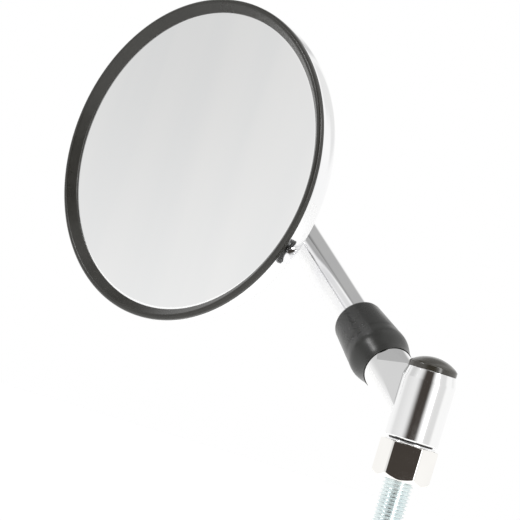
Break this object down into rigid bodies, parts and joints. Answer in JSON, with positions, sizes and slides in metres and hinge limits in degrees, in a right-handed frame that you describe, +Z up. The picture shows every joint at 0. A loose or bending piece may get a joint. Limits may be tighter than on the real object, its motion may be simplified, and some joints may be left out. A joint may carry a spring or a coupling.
{
  "type": "motorcycle mirror",
  "caption": "Round chromed rear-view mirror for the left handlebar perch, with a ball-jointed head, a bent stem and a swivelling knuckle on a threaded mounting bolt.",
  "frame": {"origin": "on the mounting bolt's axis, in the lower face of the hexagon nut, which seats on the perch", "axes": "+Z up the bolt, the glass faces -Y and -X, the arm rises towards -X and +Y"},
  "size_m": [0.1559, 0.1073, 0.1622],
  "materials": {
    "chrome": "polished chrome plate on steel",
    "cast_chrome": "polished chrome plate on a casting",
    "zinc_steel": "blue-white zinc plate",
    "spring_steel": "dark oiled spring steel",
    "plate_steel": "plain pressed steel",
    "black_plastic": "satin black moulding",
    "seat_plastic": "natural nylon",
    "boot_rubber": "satin black rubber",
    "rim_rubber": "satin black rubber",
    "foam": "thin black foam sheet",
    "mirror_glass": "silvered convex glass"
  },
  "bodies": {
    "base": {"mounting_bolt": "zinc_steel", "hex_nut": "chrome", "nut_washer": "chrome", "head_washer": "zinc_steel", "upper_disc_spring": "spring_steel", "lower_disc_spring": "spring_steel"},
    "knuckle_body": {"knuckle": "cast_chrome", "lower_bush": "black_plastic", "upper_bush": "black_plastic", "top_cap": "black_plastic"},
    "stem_body": {"stem": "chrome", "lock_washer": "zinc_steel", "lock_nut": "zinc_steel", "boot": "boot_rubber"},
    "ball_body": {"ball": "zinc_steel"},
    "seat_body": {"rear_seat": "seat_plastic", "front_seat": "seat_plastic"},
    "head_body": {"shell": "chrome", "socket_plate": "plate_steel", "clamp_plate": "plate_steel", "clamp_screws": "zinc_steel", "screw_washers": "zinc_steel", "backing_plate": "black_plastic", "foam_pad": "foam", "glass": "mirror_glass", "rim": "rim_rubber"}
  },
  "joints": [
    {"name": "base_swivel", "type": "hinge", "parent": "base", "child": "knuckle_body", "pos_m": [0, 0, 0.02], "axis": [0, 0, 1], "continuous": true},
    {"name": "stem_turn", "type": "hinge", "parent": "knuckle_body", "child": "stem_body", "pos_m": [0, 0, 0.02133], "axis": [-0.53, 0.7162, 0.454], "range_deg": [-180, 180]},
    {"name": "head_spin", "type": "hinge", "parent": "stem_body", "child": "ball_body", "pos_m": [-0.08932, 0.07143, 0.08274], "axis": [-0.6086, -0.7931, 0.0262], "continuous": true},
    {"name": "head_pan", "type": "hinge", "parent": "ball_body", "child": "seat_body", "pos_m": [-0.08932, 0.07143, 0.08274], "axis": [0.0159, 0.0208, 0.9997], "range_deg": [-12, 12]},
    {"name": "head_tilt", "type": "hinge", "parent": "seat_body", "child": "head_body", "pos_m": [-0.08932, 0.07143, 0.08274], "axis": [0.7934, -0.6088, 0], "range_deg": [-12, 12]}
  ]
}
